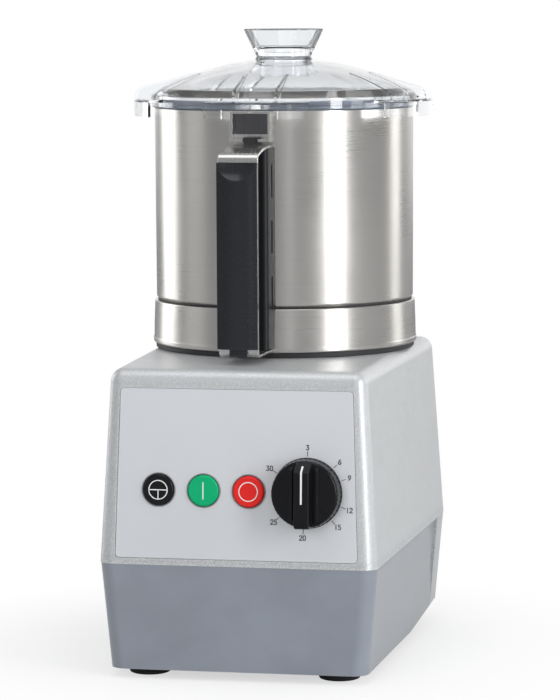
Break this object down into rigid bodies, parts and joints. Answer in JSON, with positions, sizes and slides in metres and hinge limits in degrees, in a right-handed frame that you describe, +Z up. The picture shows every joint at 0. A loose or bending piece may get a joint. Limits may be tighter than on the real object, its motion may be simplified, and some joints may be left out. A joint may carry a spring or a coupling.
{
  "type": "vertical cutter mixer",
  "caption": "Table-top vertical cutter mixer: a motor base with buttons and a speed dial, a lift-off steel bowl with a handle, two blades and a clear lid with a feed cup.",
  "frame": {"origin": "middle of the footprint's bounding box, on the table top", "axes": "+Z up the bowl's axis, -Y toward the front with the controls, +X to the right seen from the front"},
  "size_m": [0.234, 0.3362, 0.4776],
  "materials": {
    "cast_aluminium": "satin, fine grain",
    "turned_aluminium": "turned",
    "panel_skin": "satin",
    "black_print": "printed",
    "white_print": "printed",
    "blue_grey_plastic": "fine texture",
    "foot_rubber": "matt",
    "seal_rubber": "matt",
    "lid_seal_rubber": "satin",
    "steel_screw": "plated",
    "motor_paint": "satin",
    "core_iron": "stacked sheet",
    "winding_varnish": "varnished wire",
    "bearing_steel": "ground",
    "black_plastic": "moulded",
    "grip_plastic": "moulded",
    "hub_plastic": "moulded",
    "knob_plastic": "moulded",
    "board_green": "lacquered",
    "bowl_steel": "brushed round the bowl",
    "strap_steel": "brushed along the strap",
    "blade_steel": "ground",
    "clear_lid": "clear polycarbonate",
    "white_plastic": "moulded",
    "pulse_black": "moulded",
    "start_green": "moulded",
    "stop_red": "moulded"
  },
  "bodies": {
    "base": {"hood": "cast_aluminium", "front_panel": "panel_skin", "dial_marks": "black_print", "tub": "blue_grey_plastic", "rear_cover": "cast_aluminium", "feet": "foot_rubber", "foot_screws": "steel_screw", "cover_screws": "steel_screw", "bowl_seat": "turned_aluminium", "seat_screws": "steel_screw", "shaft_seal": "seal_rubber", "motor_flange": "cast_aluminium", "motor_shell": "motor_paint", "end_shield": "cast_aluminium", "stator_core": "core_iron", "stator_windings": "winding_varnish", "upper_bearing": "bearing_steel", "lower_bearing": "bearing_steel", "button_guides": "black_plastic", "switch_blocks": "black_plastic", "pot_body": "bearing_steel", "pot_nut": "steel_screw", "control_board": "board_green", "board_posts": "steel_screw", "heat_sink": "cast_aluminium", "capacitors": "black_plastic", "cable_gland": "black_plastic", "gland_nut": "black_plastic"},
    "rotor": {"motor_shaft": "bearing_steel", "rotor_core": "core_iron", "cooling_fan": "black_plastic"},
    "bowl_ring": {"bowl_foot_ring": "seal_rubber"},
    "bowl": {"bowl_shell": "bowl_steel", "bowl_skirt": "bowl_steel", "bowl_collar": "bowl_steel", "catch_bracket": "strap_steel", "catch_block": "black_plastic", "handle_strap": "strap_steel", "handle_grip": "grip_plastic", "grip_back": "grip_plastic", "handle_back": "grip_plastic", "handle_screws": "steel_screw"},
    "blades": {"blade_hub": "hub_plastic", "lower_blade": "blade_steel", "blade_spacer": "hub_plastic", "upper_blade": "blade_steel", "hub_cap": "hub_plastic"},
    "seal": {"lid_seal": "lid_seal_rubber"},
    "lid": {"lid": "clear_lid", "lid_magnet": "white_plastic"},
    "cup": {"feed_cup": "clear_lid"},
    "pulse": {"pulse_button": "pulse_black", "pulse_mark": "white_print"},
    "start": {"start_button": "start_green", "start_mark": "white_print"},
    "stop": {"stop_button": "stop_red", "stop_mark": "white_print"},
    "knob": {"speed_knob": "knob_plastic", "knob_pointer": "white_print", "pot_shaft": "bearing_steel"}
  },
  "joints": [
    {"name": "shaft_spin", "type": "hinge", "parent": "base", "child": "rotor", "pos_m": [0, 0.05161, 0.2], "axis": [0, 0, 1], "continuous": true},
    {"name": "bowl_lift", "type": "slide", "parent": "base", "child": "bowl_ring", "axis": [0, 0, 1], "range_m": [0, 0.16]},
    {"name": "bowl_turn", "type": "hinge", "parent": "bowl_ring", "child": "bowl", "pos_m": [0, 0.05161, 0.27], "axis": [0, 0, 1], "range_deg": [0, 20]},
    {"name": "blade_spin", "type": "hinge", "parent": "bowl_ring", "child": "blades", "pos_m": [0, 0.05161, 0.3], "axis": [0, 0, 1], "continuous": true},
    {"name": "lid_lift", "type": "slide", "parent": "bowl", "child": "seal", "axis": [0, 0, 1], "range_m": [0, 0.12]},
    {"name": "lid_turn", "type": "hinge", "parent": "seal", "child": "lid", "pos_m": [0, 0.05161, 0.43], "axis": [0, 0, 1], "range_deg": [0, 30]},
    {"name": "cup_lift", "type": "slide", "parent": "lid", "child": "cup", "axis": [0, 0, 1], "range_m": [0, 0.04]},
    {"name": "pulse_press", "type": "slide", "parent": "base", "child": "pulse", "axis": [0, 0.9985, -0.0555], "range_m": [0, 0.0035], "stiffness_N_per_m": 300},
    {"name": "start_press", "type": "slide", "parent": "base", "child": "start", "axis": [0, 0.9985, -0.0555], "range_m": [0, 0.0035], "stiffness_N_per_m": 300},
    {"name": "stop_press", "type": "slide", "parent": "base", "child": "stop", "axis": [0, 0.9985, -0.0555], "range_m": [0, 0.0035], "stiffness_N_per_m": 300},
    {"name": "knob_turn", "type": "hinge", "parent": "base", "child": "knob", "pos_m": [0.0535, -0.14079, 0.1418], "axis": [0, 0.9985, -0.0555], "range_deg": [0, 302]}
  ],
  "couplings": [
    {"joint": "blade_spin", "follows": "shaft_spin", "ratio": 1}
  ]
}
